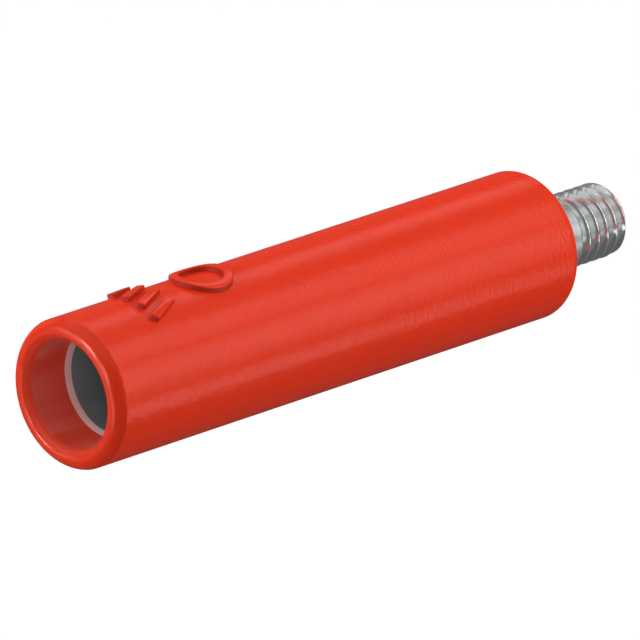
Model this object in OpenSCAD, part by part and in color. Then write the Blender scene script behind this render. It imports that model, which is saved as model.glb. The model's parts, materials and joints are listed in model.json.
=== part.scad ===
// Insulated socket for a 4 mm plug: a moulded sleeve on a turned contact.
// The plug goes in at the mouth, and the stud screws into a terminal.
// The axis runs along Y: the mouth faces -Y and the stud points to +Y.
// The origin is the centre of the rear face, where the stud starts.

/* [Insulating sleeve] */
// Outside diameter of the sleeve
sleeve_d = 6; // [5.6:0.1:8]
// Length from the lip to the rear face
sleeve_len = 25.2; // [24:0.1:36]
// Diameter of the plug's opening at the lip
mouth_d = 4.35; // [4.25:0.05:4.8]
// Diameter of the opening where it meets the contact
throat_d = 4.3; // [4.15:0.05:4.5]
// Depth of plastic in front of the contact
mouth_depth = 2.1; // [1.2:0.05:3]

/* [Roundings of the sleeve] */
// Width of the lip's rounding on the outside
lip_outer_w = 0.49; // [0.1:0.01:0.8]
// Length of the lip's rounding along the outside
lip_outer_len = 0.6; // [0.1:0.05:1.2]
// Width of the lip's rounding on the inside
lip_inner_w = 0.32; // [0.1:0.01:0.8]
// Length of the lip's rounding along the inside
lip_inner_len = 0.45; // [0.1:0.05:1]
// Radius of the rounded edge at the rear
rear_edge_r = 0.5; // [0.1:0.05:1]

/* [Raised marks on the sleeve] */
// Height of the marks above the sleeve
mark_h = 0.22; // [0.1:0.01:0.4]
// Width of a mark's line
mark_w = 0.36; // [0.2:0.01:0.6]
// Number of slanted bars near the mouth
bar_count = 4; // [2:1:6]
// Length of a bar
bar_len = 1.6; // [0.8:0.1:2.4]
// Slant of the bars from the sleeve's axis
bar_slant = 25; // [0:1:40]
// Spacing of the bars round the sleeve
bar_pitch = 0.8; // [0.7:0.05:1.2]
// Distance from the lip to the middle of the bars
bar_offset = 4.1; // [2.5:0.1:4.5]
// Outside diameter of the raised ring
ring_d = 2.5; // [1.5:0.1:3]
// Distance from the lip to the ring's centre
ring_offset = 7.3; // [7:0.1:20]

/* [Contact] */
// Outside diameter of the contact's barrel
contact_d = 4.8; // [4.7:0.1:5.2]
// Diameter of the bore that the plug's pin fits
bore_d = 4.1; // [3.9:0.02:4.14]
// Length of the bore's straight wall
bore_len = 18.7; // [10:0.1:19.2]
// Length of the taper that leads the pin in
lead_len = 0.25; // [0.1:0.05:0.8]
// Angle of the drill's point at the bore's end
drill_angle = 118; // [90:1:150]
// Chamfer round both ends of the barrel
barrel_chamfer = 0.1; // [0.05:0.01:0.12]

/* [Stud] */
// Outside diameter of the stud's thread
stud_d = 3; // [2:0.1:4]
// Length of the stud past the rear face
stud_len = 4.3; // [2:0.1:20]
// Chamfer at the stud's end
stud_chamfer = 0.35; // [0.1:0.05:0.6]

/* [Snap fit] */
// Depth of the groove round the contact's barrel
groove_depth = 0.15; // [0.1:0.01:0.2]
// Width of the groove
groove_w = 1; // [0.8:0.1:1.4]
// Distance from the rear face to the groove
groove_offset = 1; // [0.8:0.1:1.3]
// Clearance between the sleeve and the barrel
seat_gap = 0.02; // [0.01:0.01:0.05]
// Clearance between the sleeve's rib and the groove
rib_gap = 0.03; // [0.02:0.01:0.05]

/* [Hidden] */

// Steps round each turned solid, along each rounding and round the raised ring
turned_fn = 96;
round_steps = 12;
ring_fn = 48;

// Narrowest flat that a rounding leaves, on the lip's crest and at the rear
crest_min = 0.01;
rear_land_min = 0.03;

// Depth of the marks' feet in the sleeve's wall
mark_foot = 0.15;

// Radii
sleeve_r = sleeve_d / 2;
mouth_r = mouth_d / 2;
throat_r = throat_d / 2;
contact_r = contact_d / 2;
bore_r = bore_d / 2;
stud_r = stud_d / 2;
seat_r = contact_r + seat_gap;

// Places along the axis
lip_y = -sleeve_len;
contact_front_y = lip_y + mouth_depth;
bore_front_y = contact_front_y + lead_len;
bore_end_y = bore_front_y + bore_len;
bore_tip_y = bore_end_y + bore_r / tan(drill_angle / 2);
groove_rear_y = -groove_offset;
groove_front_y = groove_rear_y - groove_w;
bar_y = lip_y + bar_offset;
ring_y = lip_y + ring_offset;

// The roundings stay within their wall
lip_wall = sleeve_r - mouth_r;
lip_fit = min(1, (lip_wall - crest_min) / (lip_outer_w + lip_inner_w));
lip_outer = lip_outer_w * lip_fit;
lip_inner = lip_inner_w * lip_fit;
rear_round = min(rear_edge_r, sleeve_r - seat_r - rear_land_min);

// The rib stands in the groove and has sloping flanks
groove_r = contact_r - groove_depth;
rib_r = groove_r + rib_gap;
rib_rear_y = groove_rear_y - rib_gap;
rib_front_y = groove_front_y + rib_gap;
rib_slope = seat_r - rib_r;

// Points of a rounding, as part of an ellipse
function rounding(centre, width, length, start, end) =
    [for (step = [0:round_steps])
        let (angle = start + (end - start) * step / round_steps)
        [centre.x + width * cos(angle), centre.y + length * sin(angle)]];

// A solid turned about the Y axis from [radius, y] points
module turned(outline) {
    rotate([-90, 0, 0])
        rotate_extrude($fn = turned_fn)
            polygon(outline);
}

// Raised marks: a row of slanted bars and a ring, wrapped on the sleeve's top
module raised_marks() {
    bar_step = bar_pitch / sleeve_r * 180 / PI;
    intersection() {
        turned([
            [sleeve_r - mark_foot, lip_y],
            [sleeve_r + mark_h, lip_y],
            [sleeve_r + mark_h, 0],
            [sleeve_r - mark_foot, 0]
        ]);
        union() {
            for (bar = [0:bar_count - 1])
                rotate([0, (bar - (bar_count - 1) / 2) * bar_step, 0])
                    translate([0, bar_y, 0])
                        rotate([0, 0, bar_slant])
                            translate([-mark_w / 2, -bar_len / 2, 0])
                                cube([mark_w, bar_len, sleeve_d]);
            translate([0, ring_y, 0])
                difference() {
                    cylinder(d = ring_d, h = sleeve_d, $fn = ring_fn);
                    cylinder(d = ring_d - 2 * mark_w, h = sleeve_d, $fn = ring_fn);
                }
        }
    }
}

// Moulded sleeve: the lip, the seat for the contact and the snap rib
module insulating_sleeve() {
    lip_inside = rounding([mouth_r + lip_inner, lip_y + lip_inner_len],
                          lip_inner, lip_inner_len, 180, 270);
    lip_outside = rounding([sleeve_r - lip_outer, lip_y + lip_outer_len],
                           lip_outer, lip_outer_len, 270, 360);
    rear_edge = rounding([sleeve_r - rear_round, -rear_round],
                         rear_round, rear_round, 0, 90);
    snap_rib = [
        [seat_r, rib_rear_y],
        [rib_r, rib_rear_y - rib_slope],
        [rib_r, rib_front_y + rib_slope],
        [seat_r, rib_front_y]
    ];
    seat_end = [
        [seat_r, contact_front_y],
        [throat_r, contact_front_y]
    ];
    color("crimson") {
        turned(concat(lip_inside, lip_outside, rear_edge,
                      [[seat_r, 0]], snap_rib, seat_end));
        raised_marks();
    }
}

// Turned contact: the bored barrel and its stud in one piece
module socket_contact() {
    stud = [
        [0, stud_len],
        [stud_r - stud_chamfer, stud_len],
        [stud_r, stud_len - stud_chamfer],
        [stud_r, 0]
    ];
    shoulder = [
        [contact_r - barrel_chamfer, 0],
        [contact_r, -barrel_chamfer]
    ];
    groove = [
        [contact_r, groove_rear_y],
        [groove_r, groove_rear_y],
        [groove_r, groove_front_y],
        [contact_r, groove_front_y]
    ];
    front = [
        [contact_r, contact_front_y + barrel_chamfer],
        [contact_r - barrel_chamfer, contact_front_y],
        [throat_r, contact_front_y]
    ];
    bore = [
        [bore_r, bore_front_y],
        [bore_r, bore_end_y],
        [0, bore_tip_y]
    ];
    color("silver")
        turned(concat(stud, shoulder, groove, front, bore));
}

insulating_sleeve();
socket_contact();
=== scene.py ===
import json
from math import cos, pi, radians, sin, tan

import bpy
from mathutils import Matrix, Vector


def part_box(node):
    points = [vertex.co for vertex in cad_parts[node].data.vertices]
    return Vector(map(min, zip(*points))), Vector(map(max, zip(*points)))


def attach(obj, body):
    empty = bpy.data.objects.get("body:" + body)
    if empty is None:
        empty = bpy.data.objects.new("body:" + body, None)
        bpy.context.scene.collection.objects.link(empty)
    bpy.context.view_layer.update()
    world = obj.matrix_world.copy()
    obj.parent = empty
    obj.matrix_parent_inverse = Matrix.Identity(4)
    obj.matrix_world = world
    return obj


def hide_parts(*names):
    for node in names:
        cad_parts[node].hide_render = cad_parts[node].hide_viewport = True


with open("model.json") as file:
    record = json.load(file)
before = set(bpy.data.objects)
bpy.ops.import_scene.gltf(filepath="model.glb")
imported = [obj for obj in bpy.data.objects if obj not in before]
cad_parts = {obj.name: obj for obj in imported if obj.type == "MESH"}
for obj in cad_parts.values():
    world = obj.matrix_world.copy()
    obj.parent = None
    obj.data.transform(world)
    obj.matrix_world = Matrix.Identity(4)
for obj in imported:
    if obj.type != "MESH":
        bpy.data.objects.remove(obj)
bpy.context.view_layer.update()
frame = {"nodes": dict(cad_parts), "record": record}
mm = 0.001  # the pieces are shaped in millimetres and scaled to metres at the end
print("frame loaded:", ", ".join(sorted(frame["nodes"])))

# sizes that the frame fixes, in millimetres
sleeveLow, sleeveHigh = (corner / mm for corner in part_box("insulating_sleeve"))
contactLow, contactHigh = (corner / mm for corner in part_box("socket_contact"))
mounts = {mount["name"]: mount for mount in frame["record"]["mounts"]}
sleeveRadius = sleeveHigh.x
lipPlace = sleeveLow.y
markHeight = sleeveHigh.z - sleeveRadius
barrelRadius = contactHigh.x
contactFront = contactLow.y
studEnd = contactHigh.y
studRadius = mounts["threaded_stud"]["dims"]["r_mm"]
boreRadius = mounts["socket_bore"]["dims"]["r_mm"]
boreLength = mounts["socket_bore"]["dims"]["length_mm"]
boreMiddle = mounts["socket_bore"]["pos_m"][1] / mm
boreFront = boreMiddle - boreLength / 2
boreEnd = boreMiddle + boreLength / 2


# Node trees: a Wire is one socket, and arithmetic on it adds Math nodes
class Wire:
    def __init__(self, tree, socket):
        self.tree = tree
        self.socket = socket

    def math(self, operation, *values):
        return self.tree.node("ShaderNodeMath", {"operation": operation}, values)

    def __add__(self, other):
        return self.math("ADD", self, other)

    def __radd__(self, other):
        return self.math("ADD", other, self)

    def __sub__(self, other):
        return self.math("SUBTRACT", self, other)

    def __rsub__(self, other):
        return self.math("SUBTRACT", other, self)

    def __mul__(self, other):
        return self.math("MULTIPLY", self, other)

    def __rmul__(self, other):
        return self.math("MULTIPLY", other, self)

    def __truediv__(self, other):
        return self.math("DIVIDE", self, other)

    def __rtruediv__(self, other):
        return self.math("DIVIDE", other, self)

    def other(self, name):  # another output of the same node
        return Wire(self.tree, self.socket.node.outputs[name])


def socketNamed(sockets, name):
    return next(socket for socket in sockets if socket.name == name)


class Tree:
    def __init__(self, nodeTree):
        self.nodeTree = nodeTree

    # settings come first, because they decide which sockets a node has
    def node(self, kind, settings=None, values=(), output=None):
        added = self.nodeTree.nodes.new(kind)
        for name, value in (settings or {}).items():
            setattr(added, name, value)
        sockets = [socket for socket in added.inputs if socket.enabled]
        pairs = values.items() if isinstance(values, dict) else enumerate(values)
        for key, value in pairs:
            socket = sockets[key] if isinstance(key, int) else socketNamed(sockets, key)
            for one in value if isinstance(value, list) else [value]:
                if isinstance(one, Wire):
                    self.nodeTree.links.new(one.socket, socket)
                else:
                    socket.default_value = one
        outputs = [socket for socket in added.outputs if socket.enabled]
        if not outputs:
            return None
        return Wire(self, outputs[0] if output is None else socketNamed(outputs, output))


# A Geometry Nodes group with an input for each size and count; it ends by setting the material
def shapeGroup(name, sizes, counts, build):
    group = bpy.data.node_groups.new(name, "GeometryNodeTree")
    inputs = [("Geometry", "Geometry"), *((size, "Float") for size in sizes),
              *((count, "Int") for count in counts), ("Material", "Material")]
    for label, kind in inputs:
        group.interface.new_socket(label, in_out="INPUT", socket_type="NodeSocket" + kind)
    group.interface.new_socket("Geometry", in_out="OUTPUT", socket_type="NodeSocketGeometry")
    tree = Tree(group)
    given = tree.node("NodeGroupInput")
    real = tree.node("GeometryNodeRealizeInstances", values={"Geometry": build(tree, given)})
    painted = tree.node("GeometryNodeSetMaterial", values={
        "Geometry": real, "Material": given.other("Material")})
    tree.node("NodeGroupOutput", values=[painted])
    return group


# Runs a group on a mesh and keeps the result as a plain mesh
def shaped(name, mesh, group, values):
    carrier = bpy.data.objects.new(name, mesh)
    bpy.context.scene.collection.objects.link(carrier)
    modifier = carrier.modifiers.new(group.name, "NODES")
    modifier.node_group = group
    for item in group.interface.items_tree:
        if item.in_out == "INPUT" and item.name in values:
            modifier[item.identifier] = values[item.name]
    return settled(carrier)


# Applies what modifiers an object has, by taking the evaluated mesh
def settled(piece):
    evaluated = piece.evaluated_get(bpy.context.evaluated_depsgraph_get())
    mesh = bpy.data.meshes.new_from_object(evaluated)
    piece.modifiers.clear()
    piece.data = mesh
    mesh.name = piece.name
    return piece


# Scales a piece to metres, smooths its shading and hands it to the frame
def finish(piece, node, sharpAngle):
    mesh = piece.data
    mesh.transform(Matrix.Scale(mm, 4))
    mesh.shade_smooth()
    mesh.set_sharp_from_angle(angle=radians(sharpAngle))
    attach(piece, "root")
    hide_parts(node)
    print("shaped", piece.name, "with", len(mesh.polygons), "faces")


# An outline is a list of (radius, place along the axis); the solid is on its left
def outlineMesh(name, points):
    mesh = bpy.data.meshes.new(name)
    mesh.from_pydata([(radius, place, 0) for radius, place in points], [], [])
    return mesh


def arc(centre, reach, start, end, steps):
    turns = [radians(start + (end - start) * step / steps) for step in range(steps + 1)]
    return [(centre[0] + reach[0] * cos(turn), centre[1] + reach[1] * sin(turn)) for turn in turns]


def stretch(start, end, steps):  # the points between two others, without them
    shares = [step / steps for step in range(1, steps)]
    return [(start[0] + (end[0] - start[0]) * s, start[1] + (end[1] - start[1]) * s) for s in shares]


# Columns go round the axis and rows along the outline, from the grid's own point numbers
def columnAndRow(tree, rows):
    index = tree.node("GeometryNodeInputIndex")
    column = index.math("FLOOR", index / rows)
    return column, index - column * rows


def roundAxis(tree, geometry, radius, place, angle):
    position = tree.node("ShaderNodeCombineXYZ", values=[
        radius * angle.math("SINE", angle), place, radius * angle.math("COSINE", angle)])
    return tree.node("GeometryNodeSetPosition", values={"Geometry": geometry, "Position": position})


def turned(tree, given):
    outline = given.other("Geometry")
    steps = given.other("Steps Round")
    rows = tree.node("GeometryNodeAttributeDomainSize", {"component": "MESH"}, [outline])
    grid = tree.node("GeometryNodeMeshGrid", values={"Vertices X": steps + 1, "Vertices Y": rows})
    column, row = columnAndRow(tree, rows)
    point = tree.node("GeometryNodeSampleIndex", {"data_type": "FLOAT_VECTOR"}, {
        "Geometry": outline, "Value": tree.node("GeometryNodeInputPosition"), "Index": row})
    apart = tree.node("ShaderNodeSeparateXYZ", values=[point])
    return roundAxis(tree, grid, apart, apart.other("Y"), column * (2 * pi) / steps)


weldDistance = 1e-4  # nearer points become one, in millimetres


def welded(tree, geometry):
    return tree.node("GeometryNodeMergeByDistance", values={
        "Geometry": geometry, "Distance": weldDistance})


# Insulating sleeve
sleeve = {
    "stepsRound": 192,
    "roundingSteps": 16,
    "bodySteps": 48,
    "mouthSteps": 4,
    "mouthRadius": 2.175,
    "throatRadius": 2.15,
    "lipOuter": (0.49, 0.46),  # width and length of the rounding
    "lipInner": (0.32, 0.42),
    "lipCorner": 20,  # degrees that the roundings stop short, for a slight corner at each wall
    "cornerBand": 0.04,  # how soon the wall is straight past that corner
    "rearEdge": 0.5,
    "seatRadius": 2.42,
    "ribRadius": 2.28,
    "ribFront": -1.97,
    "ribRear": -1.03,
    "sharpAngle": 32,  # edges past so many degrees are shaded sharp
}

marks = {
    "lineWidth": 0.36,
    "foot": 0.15,  # how deep the marks are rooted in the wall
    "edge": 0.05,  # rounding of their edges
    "edgeSteps": 3,
    "corner": 0.07,
    "topRings": (0.75, 0.5, 0.25),  # rings of points on a bar's flat top, as shares of its half width
    "bars": 4,
    "barLength": 1.6,
    "barSlant": 25,
    "barPitch": 0.8,
    "barOffset": 4.1,
    "ringDiameter": 2.5,
    "ringOffset": 7.3,
    "ringSteps": 96,
}


# Half axes of the ellipse that a lip's rounding of some width and length is part of
def lipReach(width, length):
    corner = radians(sleeve["lipCorner"])
    return width / cos(corner), length / (1 - sin(corner))


def sleeveOutline():
    s = sleeve
    steps = s["roundingSteps"]
    corner, band, rear = s["lipCorner"], s["cornerBand"], s["rearEdge"]
    inner, outer = lipReach(*s["lipInner"]), lipReach(*s["lipOuter"])
    innerMiddle = s["mouthRadius"] + s["lipInner"][0]
    outerMiddle = sleeveRadius - s["lipOuter"][0]
    lipInside = arc((innerMiddle, lipPlace + inner[1]), inner, 180 + corner, 270, steps)
    lipOutside = arc((outerMiddle, lipPlace + outer[1]), outer, 270, 360 - corner, steps)
    rearEdge = arc((sleeveRadius - rear, -rear), (rear, rear), 0, 90, steps)
    sideStart = (sleeveRadius, lipOutside[-1][1] + band)
    side = [sideStart, *stretch(sideStart, rearEdge[0], s["bodySteps"])]
    slope = s["seatRadius"] - s["ribRadius"]
    snapRib = [(s["seatRadius"], s["ribRear"]), (s["ribRadius"], s["ribRear"] - slope),
               (s["ribRadius"], s["ribFront"] + slope), (s["seatRadius"], s["ribFront"])]
    seat = [(s["seatRadius"], contactFront), (s["throatRadius"], contactFront)]
    mouthStart = (s["mouthRadius"], lipInside[0][1] + band)
    mouth = [*stretch(seat[-1], mouthStart, s["mouthSteps"]), mouthStart]
    return [*lipInside, *lipOutside, *side, *rearEdge, (s["seatRadius"], 0), *snapRib,
            *seat, *mouth, lipInside[0]]


# One bar, lying flat: rings of points that climb the wall, round its edge and close on the top
def barMesh():
    m = marks
    corner, edge = m["corner"], m["edge"]
    halfWidth = m["lineWidth"] / 2 - corner
    halfLength = m["barLength"] / 2 - corner
    levels = [(corner, 1, -m["foot"]), (corner, 1, markHeight - edge)]
    for step in range(1, m["edgeSteps"] + 1):
        turn = radians(90 * step / m["edgeSteps"])
        levels.append((corner - edge * (1 - cos(turn)), 1, markHeight - edge * (1 - sin(turn))))
    levels += [((corner - edge) * share, share, markHeight) for share in m["topRings"]]
    rim = []
    for side, end, start in ((1, 1, 0), (-1, 1, 90), (-1, -1, 180), (1, -1, 270)):
        for step in range(m["edgeSteps"] + 1):
            turn = radians(start + 90 * step / m["edgeSteps"])
            rim.append((side * halfWidth, end * halfLength, cos(turn), sin(turn)))
    points = [(x * share + reach * c, y * share + reach * s, z)
              for reach, share, z in levels for x, y, c, s in rim]
    count = len(rim)
    faces = [[ring * count + i, ring * count + (i + 1) % count,
              (ring + 1) * count + (i + 1) % count, (ring + 1) * count + i]
             for ring in range(len(levels) - 1) for i in range(count)]
    top = (len(levels) - 1) * count
    points.append((0, 0, markHeight))
    faces += [[top + i, top + (i + 1) % count, len(points) - 1] for i in range(count)]
    faces.append(list(reversed(range(count))))
    mesh = bpy.data.meshes.new("bar")
    mesh.from_pydata(points, [], faces)
    return mesh


# Lowers flat work on to the sleeve: its height becomes height above the round wall
def dropped(tree, geometry, radius):
    apart = tree.node("ShaderNodeSeparateXYZ", values=[tree.node("GeometryNodeInputPosition")])
    across, height = apart.other("X"), apart.other("Z")
    reach = radius + height
    lifted = reach.math("SQRT", reach * reach - across * across)
    position = tree.node("ShaderNodeCombineXYZ", values=[across, apart.other("Y"), lifted])
    return tree.node("GeometryNodeSetPosition", values={"Geometry": geometry, "Position": position})


def raisedMarks(tree, given):
    radius, width, foot = given.other("Sleeve Radius"), given.other("Line Width"), given.other("Foot")
    height, bars = given.other("Height"), given.other("Bars")
    slanted = tree.node("GeometryNodeTransform", values={
        "Geometry": given.other("Geometry"),
        "Translation": tree.node("ShaderNodeCombineXYZ", values={"Y": given.other("Bar Place")}),
        "Rotation": tree.node("ShaderNodeCombineXYZ", values={"Z": given.other("Bar Slant")})})
    index = tree.node("GeometryNodeInputIndex")
    turn = (index - (bars - 1) / 2) * given.other("Bar Pitch") / radius
    row = tree.node("GeometryNodeInstanceOnPoints", values={
        "Points": tree.node("GeometryNodePoints", values={"Count": bars}),
        "Instance": dropped(tree, slanted, radius),
        "Rotation": tree.node("ShaderNodeCombineXYZ", values={"Y": turn})})
    circle = tree.node("GeometryNodeCurvePrimitiveCircle", values={
        "Resolution": given.other("Ring Steps"), "Radius": (given.other("Ring Diameter") - width) / 2})
    section = tree.node("GeometryNodeFilletCurve", {"mode": "POLY"}, {
        "Curve": tree.node("GeometryNodeCurvePrimitiveQuadrilateral", values={
            "Width": width, "Height": height + foot}),
        "Count": given.other("Edge Steps"), "Radius": given.other("Edge")})
    ring = tree.node("GeometryNodeTransform", values={
        "Geometry": tree.node("GeometryNodeCurveToMesh", values={
            "Curve": circle, "Profile Curve": section}),
        "Translation": tree.node("ShaderNodeCombineXYZ", values={
            "Y": given.other("Ring Place"), "Z": (height - foot) / 2})})
    return tree.node("GeometryNodeJoinGeometry", values=[[row, dropped(tree, ring, radius)]])


def sleeveBody(tree, given):
    return welded(tree, turned(tree, given))


def buildSleeve(material):
    m = marks
    steps = {"Steps Round": sleeve["stepsRound"]}
    turning = shapeGroup("turnedSleeve", {}, steps, sleeveBody)
    body = shaped("sleeve", outlineMesh("sleeveOutline", sleeveOutline()), turning,
                  {**steps, "Material": material})
    sizes = {
        "Sleeve Radius": sleeveRadius, "Line Width": m["lineWidth"],
        "Height": markHeight, "Foot": m["foot"], "Edge": m["edge"],
        "Bar Place": lipPlace + m["barOffset"], "Bar Slant": radians(m["barSlant"]),
        "Bar Pitch": m["barPitch"],
        "Ring Diameter": m["ringDiameter"], "Ring Place": lipPlace + m["ringOffset"],
    }
    counts = {"Bars": m["bars"], "Edge Steps": m["edgeSteps"], "Ring Steps": m["ringSteps"]}
    marking = shapeGroup("raisedMarks", sizes, counts, raisedMarks)
    raised = shaped("marks", barMesh(), marking, {**sizes, **counts, "Material": material})
    union = body.modifiers.new("marks", "BOOLEAN")
    union.operation = "UNION"
    union.solver = "EXACT"
    union.object = raised
    settled(body)
    bpy.data.objects.remove(raised)
    finish(body, "insulating_sleeve", sleeve["sharpAngle"])


# Socket contact
contact = {
    "stepsRound": 128,
    "throatRadius": 2.15,
    "drillAngle": 118,
    "chamfer": 0.1,
    "grooveRadius": 2.25,
    "grooveFront": -2,
    "grooveRear": -1,
    "rootFillet": 0.12,
    "filletSteps": 4,
    "boreSteps": 8,
    "sharpAngle": 38,
}

thread = {
    "pitch": 0.5,
    "start": 1.5,  # where the plain shank ends
    "runIn": 0.25,  # how soon the thread gets its full depth
    "crestPlace": 0.355,  # a crest's place on the top line, less whole turns
    "crestWidth": 0.0625,
    "depth": 0.29,
    "flankSlope": tan(radians(60)),
    "rounding": 0.012,
    "endChamfer": 0.35,
    "rowsPerTurn": 32,
}


def contactOutline():
    c = contact
    boreTip = boreEnd + boreRadius / tan(radians(c["drillAngle"] / 2))
    wallStart, wallEnd = (boreRadius, boreEnd), (boreRadius, boreFront)
    bore = [(0, boreTip), wallStart, *stretch(wallStart, wallEnd, c["boreSteps"]), wallEnd]
    front = [(c["throatRadius"], contactFront), (barrelRadius - c["chamfer"], contactFront),
             (barrelRadius, contactFront + c["chamfer"])]
    groove = [(barrelRadius, c["grooveFront"]), (c["grooveRadius"], c["grooveFront"]),
              (c["grooveRadius"], c["grooveRear"]), (barrelRadius, c["grooveRear"])]
    shoulder = [(barrelRadius, -c["chamfer"]), (barrelRadius - c["chamfer"], 0)]
    fillet = c["rootFillet"]
    root = arc((studRadius + fillet, fillet), (fillet, fillet), 270, 180, c["filletSteps"])
    return [*bore, *front, *groove, *shoulder, *root, (studRadius, thread["start"])]


# Rows climb the helix, so that its crests are clean lines; a spare turn at each end is cut off flat
def threaded(tree, given):
    steps, perTurn = given.other("Steps Round"), given.other("Rows per Turn")
    start, end, pitch = given.other("Start"), given.other("End"), given.other("Pitch")
    crest, phase = given.other("Crest Radius"), given.other("Crest Place")
    rows = ((end - start) / pitch + 2) * perTurn
    rows = rows.math("CEIL", rows) + 2
    grid = tree.node("GeometryNodeMeshGrid", values={"Vertices X": steps + 1, "Vertices Y": rows})
    column, row = columnAndRow(tree, rows)
    turn = column / steps
    first = start.math("FLOOR", (start - phase) / pitch) - 1
    climbed = phase + (first + row / perTurn + turn) * pitch
    place = climbed.math("MINIMUM", climbed.math("MAXIMUM", climbed, start), end)
    share = (place - phase) / pitch - turn + 0.5
    offCrest = share.math("ABSOLUTE", share.math("FRACT", share) - 0.5) * pitch
    rounding = given.other("Rounding")
    fall = (offCrest - given.other("Crest Width") / 2) * given.other("Flank Slope")
    fall = fall.math("SMOOTH_MAX", fall, 0, rounding)
    fall = fall.math("SMOOTH_MIN", fall, given.other("Depth"), rounding)
    fade = tree.node("ShaderNodeMapRange", {"interpolation_type": "SMOOTHSTEP"}, {
        "Value": place, "From Min": start, "From Max": start + given.other("Run In")})
    cut = crest - fall * fade
    bevel = crest - given.other("End Chamfer") + end - place
    radius = cut.math("MINIMUM", cut, bevel)
    inside = row.math("LESS_THAN", row, rows - 1)  # the last row is the middle of the end face
    return roundAxis(tree, grid, radius * inside, place, turn * (2 * pi))


def barrelAndStud(tree, given):
    barrel, stud = turned(tree, given), threaded(tree, given)
    return welded(tree, tree.node("GeometryNodeJoinGeometry", values=[[barrel, stud]]))


def buildContact(material):
    t = thread
    sizes = {
        "Pitch": t["pitch"], "Start": t["start"], "End": studEnd, "Crest Place": t["crestPlace"],
        "Crest Radius": studRadius, "Crest Width": t["crestWidth"], "Depth": t["depth"],
        "Flank Slope": t["flankSlope"], "Rounding": t["rounding"], "Run In": t["runIn"],
        "End Chamfer": t["endChamfer"],
    }
    counts = {"Steps Round": contact["stepsRound"], "Rows per Turn": t["rowsPerTurn"]}
    group = shapeGroup("turnedContact", sizes, counts, barrelAndStud)
    body = shaped("contact", outlineMesh("contactOutline", contactOutline()), group,
                  {**sizes, **counts, "Material": material})
    finish(body, "socket_contact", contact["sharpAngle"])


# Finishes
plastic = {
    "colour": (0.95, 0.044, 0.011, 1),
    "deepColour": (0.86, 0.038, 0.009, 1),
    "mouthColour": (0.94, 0.10, 0.045, 1),  # the matt wall inside the mouth; paler than the body, partly its own colour and partly painted sheen
    "drawnColour": (1.0, 0.21, 0.15, 1),  # paler streaks of painted sheen along it, which fade with depth
    "drawnSize": (0.9, 12, 0.9),
    "drawnDetail": 1.0,
    "drawnFade": 0.6,
    "flankColour": (0.46, 0.024, 0.006, 1),  # painted shade on the sides of the raised marks
    "lipOutside": (0.80, 0.037, 0.011, 1),  # painted shade on the lip's rounding near its outer end
    "lipInside": (1.0, 0.095, 0.045, 1),  # and painted sheen on it near the mouth
    "gloss": 0.3,
    "sheenTint": (1, 0.6, 0.55, 1),
    "roughness": 0.19,
    "roughnessSpread": 0.12,
    "lipRoughness": 0.20,
    "flankRoughness": 0.5,
    "mouthRoughness": 0.26,
    "streakSize": (0.28, 0.12, 0.28),  # grain runs round the sleeve
    "streakDetail": 3.0,
    "grainDepth": 0.026,
    "lipGrain": 0.03,  # shares of the grain and of the roughness spread that the lip keeps
    "lipSpread": 0.2,
    "mottleSize": 1.2,
    "mottleShare": 0.6,  # the colour follows this much of the mottle, and the grain for the rest
    # where a mask starts and is full, past the place that redPlastic gives it
    "skinBand": (-0.2, -0.1),
    "raisedBand": (0.03, 0.1),
    "flankFoot": (0.005, 0.02),
    "flankTop": (-0.05, -0.01),
    "grainBand": (-0.04, 0.04),
    "mouthBand": (-0.12, 0.03),
    "outsideBand": (-0.15, -0.05),
    "outsideEnd": (-0.03, 0.01),
    "insideEnd": (0.06, 0.26),
    "drawnBand": (0.3, 0.65),
}

nickel = {
    "colour": (0.65, 0.67, 0.67, 1),
    "tarnish": (0.58, 0.60, 0.61, 1),
    "tarnishSize": 0.7,
    # cooler than the stud: a painted tint that takes out the red light bounced into the bore
    "boreColour": (0.63, 0.72, 0.73, 1),
    # the lead-in's plating, pink with a painted reflection of the red mouth wall
    "leadInColour": (1.0, 0.82, 0.80, 1),
    "shankColour": (0.50, 0.52, 0.53, 1),  # the plain stretch before the thread, darker as painted shade that dims its reflections
    "metallic": 0.85,  # the rest is dull scatter from the plating
    "leadInMetallic": 0.30,
    "studMetallic": 0.6,
    "roughness": 0.14,
    "leadInRoughness": 0.45,
    "shankRoughness": 0.32,
    "roughnessSpread": 0.08,
    "ringSize": 0.035,  # spacing of the turning marks
    "ringDetail": 1.0,
    "ringDepth": 0.0006,
    "edgeBand": (-0.02, 0.02),  # how sharply one finish meets the next
    "shankBand": (-0.05, 0.05),
}

noiseMiddle = 0.5


def newMaterial(name):
    material = bpy.data.materials.new(name)
    material.use_nodes = True
    material.node_tree.nodes.clear()
    return material, Tree(material.node_tree)


def objectPlace(tree):  # Object coordinates in millimetres
    return tree.node("ShaderNodeVectorMath", {"operation": "SCALE"}, {
        "Vector": tree.node("ShaderNodeTexCoord", output="Object"), "Scale": 1 / mm})


def noise(tree, place, size, detail=2.0):
    if not isinstance(size, tuple):
        size = (size, size, size)
    spread = tree.node("ShaderNodeMapping", {"vector_type": "POINT"}, {
        "Vector": place, "Scale": tuple(1 / s for s in size)})
    return tree.node("ShaderNodeTexNoise", values={"Vector": spread, "Scale": 1.0, "Detail": detail})


def ramp(tree, value, low, high):  # rises smoothly from 0 to 1
    return tree.node("ShaderNodeMapRange", {"interpolation_type": "SMOOTHSTEP"}, {
        "Value": value, "From Min": low, "From Max": high})


def rise(tree, value, start, band):  # a ramp over a band that is given from its start
    return ramp(tree, value, start + band[0], start + band[1])


def between(mask, outside, inside):  # a number that changes where a mask is 1
    return outside + mask * (inside - outside)


def mixed(tree, mask, outside, inside):
    return tree.node("ShaderNodeMix", {"data_type": "RGBA"}, {"Factor": mask, "A": outside, "B": inside})


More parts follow.
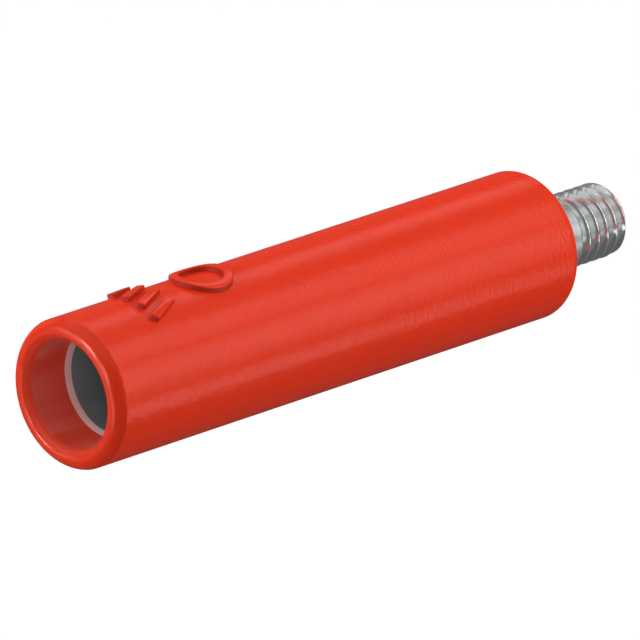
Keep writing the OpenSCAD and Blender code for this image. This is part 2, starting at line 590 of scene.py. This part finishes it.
def axisPlace(tree, place):  # distance from the axis and place along it
    apart = tree.node("ShaderNodeSeparateXYZ", values=[place])
    across, along, up = apart.other("X"), apart.other("Y"), apart.other("Z")
    return across.math("SQRT", across * across + up * up), along


def redPlastic():
    p = plastic
    material, tree = newMaterial("redPlastic")
    place = objectPlace(tree)
    radius, along = axisPlace(tree, place)
    streaks = noise(tree, place, p["streakSize"], p["streakDetail"])
    mottle = noise(tree, place, p["mottleSize"])
    lipEnd = lipPlace + sleeve["lipOuter"][1]
    wallStart = lipPlace + sleeve["lipInner"][1]

    # masks: the outer skin, the marks and their sides, the grain, and the parts of the lip and mouth
    skin = rise(tree, radius, sleeveRadius, p["skinBand"])
    raised = rise(tree, radius, sleeveRadius, p["raisedBand"])
    belowTop = 1 - rise(tree, radius, sleeveRadius + markHeight, p["flankTop"])
    flank = rise(tree, radius, sleeveRadius, p["flankFoot"]) * belowTop
    grained = skin * rise(tree, along, lipEnd, p["grainBand"])
    onLip = 1 - rise(tree, along, lipEnd, p["outsideEnd"])
    outside = rise(tree, radius, sleeveRadius, p["outsideBand"]) * onLip
    inside = 1 - rise(tree, radius, sleeve["mouthRadius"], p["insideEnd"])
    inMouth = rise(tree, along, wallStart, p["mouthBand"]) * (1 - skin)
    depth = ramp(tree, along, wallStart, contactFront)
    # painted sheen: paler streaks along the mouth wall
    paintedSheen = rise(tree, noise(tree, place, p["drawnSize"], p["drawnDetail"]), 0, p["drawnBand"])

    varied = mottle * p["mottleShare"] + streaks * (1 - p["mottleShare"])
    colour = mixed(tree, varied, p["deepColour"], p["colour"])
    # painted shade: the sides of the marks are darker
    colour = mixed(tree, flank, colour, p["flankColour"])
    # painted shade: the lip's outer rounding is darker
    colour = mixed(tree, outside, colour, p["lipOutside"])
    # painted sheen: the lip's inner rounding is paler
    colour = mixed(tree, inside, colour, p["lipInside"])
    # the mouth wall's colour, with the painted sheen streaks fading towards the contact
    mouth = mixed(tree, paintedSheen * (1 - depth * p["drawnFade"]), p["mouthColour"], p["drawnColour"])
    spread = between(grained, p["lipSpread"], 1.0) * p["roughnessSpread"]
    rough = between(grained, p["lipRoughness"], p["roughness"]) + (streaks - noiseMiddle) * spread
    rough = between(flank, rough, p["flankRoughness"])
    grain = between(grained * (1 - raised), p["lipGrain"], 1.0)
    relief = tree.node("ShaderNodeBump", values={
        "Strength": 1.0, "Distance": p["grainDepth"] * mm, "Height": streaks * grain})
    shader = tree.node("ShaderNodeBsdfPrincipled", values={
        "Base Color": mixed(tree, inMouth, colour, mouth),
        "Specular IOR Level": p["gloss"], "Specular Tint": p["sheenTint"],
        "Roughness": between(inMouth, rough, p["mouthRoughness"]), "Normal": relief})
    tree.node("ShaderNodeOutputMaterial", values={"Surface": shader})
    return material


def platedBrass():
    p = nickel
    material, tree = newMaterial("platedBrass")
    place = objectPlace(tree)
    radius, along = axisPlace(tree, place)
    turning = tree.node("ShaderNodeCombineXYZ", values=[radius, along, 0.0])
    rings = noise(tree, turning, p["ringSize"], p["ringDetail"])

    # masks: the lead-in taper, the stud, and the plain shank before its thread
    leadIn = 1 - rise(tree, along, boreFront, p["edgeBand"])
    onStud = rise(tree, along, 0, p["edgeBand"])
    onShank = onStud * (1 - rise(tree, along, thread["start"], p["shankBand"]))

    colour = mixed(tree, noise(tree, place, p["tarnishSize"]), p["tarnish"], p["colour"])
    # the bore's painted cool tint, against the red bounce from the mouth wall
    colour = mixed(tree, onStud, p["boreColour"], colour)
    # painted shade: the plain shank is darker
    colour = mixed(tree, onShank, colour, p["shankColour"])
    rough = between(onShank, p["roughness"], p["shankRoughness"])
    rough = rough + (rings - noiseMiddle) * p["roughnessSpread"]
    metallic = between(onStud, p["metallic"], p["studMetallic"])
    relief = tree.node("ShaderNodeBump", values={
        "Strength": 1.0, "Distance": p["ringDepth"] * mm, "Height": rings})
    # the lead-in's pink is a painted reflection of the red mouth wall
    shader = tree.node("ShaderNodeBsdfPrincipled", values={
        "Base Color": mixed(tree, leadIn, colour, p["leadInColour"]),
        "Metallic": between(leadIn, metallic, p["leadInMetallic"]),
        "Roughness": between(leadIn, rough, p["leadInRoughness"]), "Normal": relief})
    tree.node("ShaderNodeOutputMaterial", values={"Surface": shader})
    return material


buildSleeve(redPlastic())
buildContact(platedBrass())

# Studio
studio = {
    "floorDrop": 130,
    "floorWidth": 3000,
    "floorColour": (0.45, 0.45, 0.45, 1),
    "floorGlow": 0.85,
    "ambient": 0.3,
    "lampDistance": 200,
}
middle = Vector((0, (lipPlace + studEnd) / 2, 0))

# direction from the object, width and length in millimetres, and how bright it looks
lamps = {
    "stripLeft": ((-0.38, 0.61, 0.65), (55, 70), 1.1),
    "stripTop": ((0.38, 0.61, 0.65), (75, 70), 1.35),
    "stripHigh": ((0.55, 0.61, 0.5), (60, 70), 0.9),
    "stripSide": ((0.69, 0.61, 0.3), (60, 70), 1.95),
    "stripSoft": ((0.74, 0.61, 0.1), (60, 70), 1.2),
    "stripLow": ((0.65, 0.61, -0.38), (60, 70), 1.1),
    "rearRight": ((0.86, 0.5, 0), (60, 60), 0.8),
    "rearSide": ((0.84, 0.45, 0.3), (60, 80), 0.8),
    "rearLow": ((0.78, 0.45, -0.42), (80, 80), 2.0),
    "rearTop": ((0.41, 0.41, 0.82), (80, 80), 1.4),
    "leftLow": ((-0.8, 0.05, -0.58), (40, 40), 2.1),
    "lipLeft": ((-0.67, -0.68, 0.29), (60, 60), 2.6),
    "keyLeft": ((-0.3, -0.9, 0.3), (45, 45), 10.0),
    "keyRight": ((0.15, -0.96, 0.25), (45, 45), 5.0),
    "keyLow": ((-0.45, -0.85, -0.1), (45, 45), 2.1),
    "frontLeft": ((-0.5, -0.85, 0.1), (80, 80), 2.0),
    "frontLow": ((-0.6, -0.72, -0.33), (120, 120), 0.5),
    "lowCamera": ((-0.3, -0.6, -0.74), (120, 120), 0.7),
}

# soft fills that only matt surfaces see, so that they leave no sheen
fills = {
    "fillLeft": ((-0.95, 0.2, 0.2), (140, 140), 6.0),
    "fillEdge": ((-0.8, 0.47, 0.37), (140, 140), 1.5),
    "fillTop": ((0.1, 0.55, 0.83), (140, 140), 1.75),
    "fillRight": ((0.75, 0.62, 0.2), (140, 140), 1.2),
}

# small lights that only gloss sees, for the glints on the lip
glints = {
    "glintLeft": ((-0.28, -0.91, 0.28), (50, 50), 16.0),
    "glintRight": ((0, -0.99, 0.08), (60, 60), 7.0),
    "glintLow": ((0.07, -0.94, -0.34), (90, 90), 3.5),
}

# dark cards that only gloss sees: direction, distance, width and length, and how bright they look
cards = {
    "cardRear": ((0, 1, 0), 260, (900, 900), 0.03),
    "cardBelow": ((0, 0, -1), 100, (900, 900), 0.06),
    "cardLeft": ((-1, 0, 0), 260, (500, 600), 0.08),
    "cardCamera": ((0.67, -0.66, 0.1), 260, (400, 500), 0.03),
}


# Axes of a flat thing that faces the object from a direction, its length turned towards the rear
def facing(direction):
    outward = Vector(direction).normalized()
    alongAxis = abs(outward.y) >= 0.99
    rearward = Vector((0, 0, 1)) if alongAxis else Vector((0, 1, 0))
    lengthwise = (rearward - outward * rearward.dot(outward)).normalized()
    return lengthwise.cross(outward), lengthwise, outward


def addLamp(name, direction, size, level):
    data = bpy.data.lights.new(name, "AREA")
    data.shape = "RECTANGLE"
    data.size, data.size_y = size[0] * mm, size[1] * mm
    data.energy = level * pi * data.size * data.size_y
    lamp = bpy.data.objects.new(name, data)
    bpy.context.scene.collection.objects.link(lamp)
    axes = facing(direction)
    lamp.matrix_world = Matrix(axes).transposed().to_4x4()
    lamp.location = (middle + axes[2] * studio["lampDistance"]) * mm
    lamp.visible_camera = False
    return lamp


def addSheet(name, direction, distance, size, material):
    across, lengthwise, outward = facing(direction)
    centre = middle + outward * distance
    corners = [centre + across * size[0] / 2 * x + lengthwise * size[1] / 2 * y
               for x, y in ((-1, -1), (1, -1), (1, 1), (-1, 1))]
    mesh = bpy.data.meshes.new(name)
    mesh.from_pydata([corner * mm for corner in corners], [], [(0, 1, 2, 3)])
    mesh.materials.append(material)
    sheet = bpy.data.objects.new(name, mesh)
    bpy.context.scene.collection.objects.link(sheet)
    return sheet


# 1 where the camera, gloss or glass looks, and 0 for the light that falls on matt surfaces
def seen(tree):
    rays = tree.node("ShaderNodeLightPath")
    camera, glossy = rays.other("Is Camera Ray"), rays.other("Is Glossy Ray")
    clear = rays.other("Is Transmission Ray")
    return camera.math("MAXIMUM", camera, camera.math("MAXIMUM", glossy, clear))


def glowing(tree, kind, strength):  # a plain white glow
    return tree.node(kind, values={"Color": (1, 1, 1, 1), "Strength": strength})


def floorMaterial():
    material, tree = newMaterial("floorPaper")
    plain = tree.node("ShaderNodeBsdfDiffuse", values={"Color": studio["floorColour"]})
    glow = glowing(tree, "ShaderNodeEmission", seen(tree) * studio["floorGlow"])
    both = tree.node("ShaderNodeAddShader", values=[plain, glow])
    tree.node("ShaderNodeOutputMaterial", values={"Surface": both})
    return material


def cardMaterial(name, level):
    material, tree = newMaterial(name)
    felt = glowing(tree, "ShaderNodeEmission", level)
    tree.node("ShaderNodeOutputMaterial", values={"Surface": felt})
    return material


def whiteWorld():
    world = bpy.data.worlds.new("studioWhite")
    world.use_nodes = True
    world.node_tree.nodes.clear()
    tree = Tree(world.node_tree)
    level = between(seen(tree), studio["ambient"], 1)
    sky = glowing(tree, "ShaderNodeBackground", level)
    tree.node("ShaderNodeOutputWorld", values={"Surface": sky})
    bpy.context.scene.world = world


whiteWorld()
floorSize = (studio["floorWidth"], studio["floorWidth"])
addSheet("floor", (0, 0, -1), studio["floorDrop"], floorSize, floorMaterial())
for name, (direction, distance, size, level) in cards.items():
    card = addSheet(name, direction, distance, size, cardMaterial(name, level))
    card.visible_camera = False
    card.visible_diffuse = False
    card.visible_transmission = False
    card.visible_shadow = False
for name, (direction, size, level) in lamps.items():
    addLamp(name, direction, size, level)
for name, (direction, size, level) in fills.items():
    addLamp(name, direction, size, level).visible_glossy = False
for name, (direction, size, level) in glints.items():
    addLamp(name, direction, size, level).visible_diffuse = False
print("studio lit with", len(lamps) + len(fills) + len(glints), "lamps")

# Camera, as the photo was taken
view = {
    "azimuth": 45.4,
    "elevation": 19.7,
    "lens": 823.8,
    "sensor": 36,
    "width": 640,  # of the picture, in pixels
    "lipPixel": (63.74, 396.66),  # where the lip's centre is in it
    "lipDistance": 558.55,
}


def addCamera():
    v = view
    turn, tilt = radians(v["azimuth"]), radians(v["elevation"])
    right = Vector((cos(turn), sin(turn), 0))
    forward = Vector((-sin(turn) * cos(tilt), cos(turn) * cos(tilt), -sin(tilt)))
    up = right.cross(forward)
    scale = v["lipDistance"] * v["sensor"] / v["lens"] / v["width"]  # millimetres per pixel
    across = (v["lipPixel"][0] - v["width"] / 2) * scale
    down = (v["lipPixel"][1] - v["width"] / 2) * scale
    lipCentre = Vector((0, lipPlace, 0))
    data = bpy.data.cameras.new("camera")
    data.lens = v["lens"]
    data.sensor_width = v["sensor"]
    camera = bpy.data.objects.new("camera", data)
    bpy.context.scene.collection.objects.link(camera)
    camera.matrix_world = Matrix((right, up, -forward)).transposed().to_4x4()
    camera.location = (lipCentre - right * across + up * down - forward * v["lipDistance"]) * mm
    bpy.context.scene.camera = camera


addCamera()
bpy.context.scene.view_settings.view_transform = "Standard"
print("camera placed")
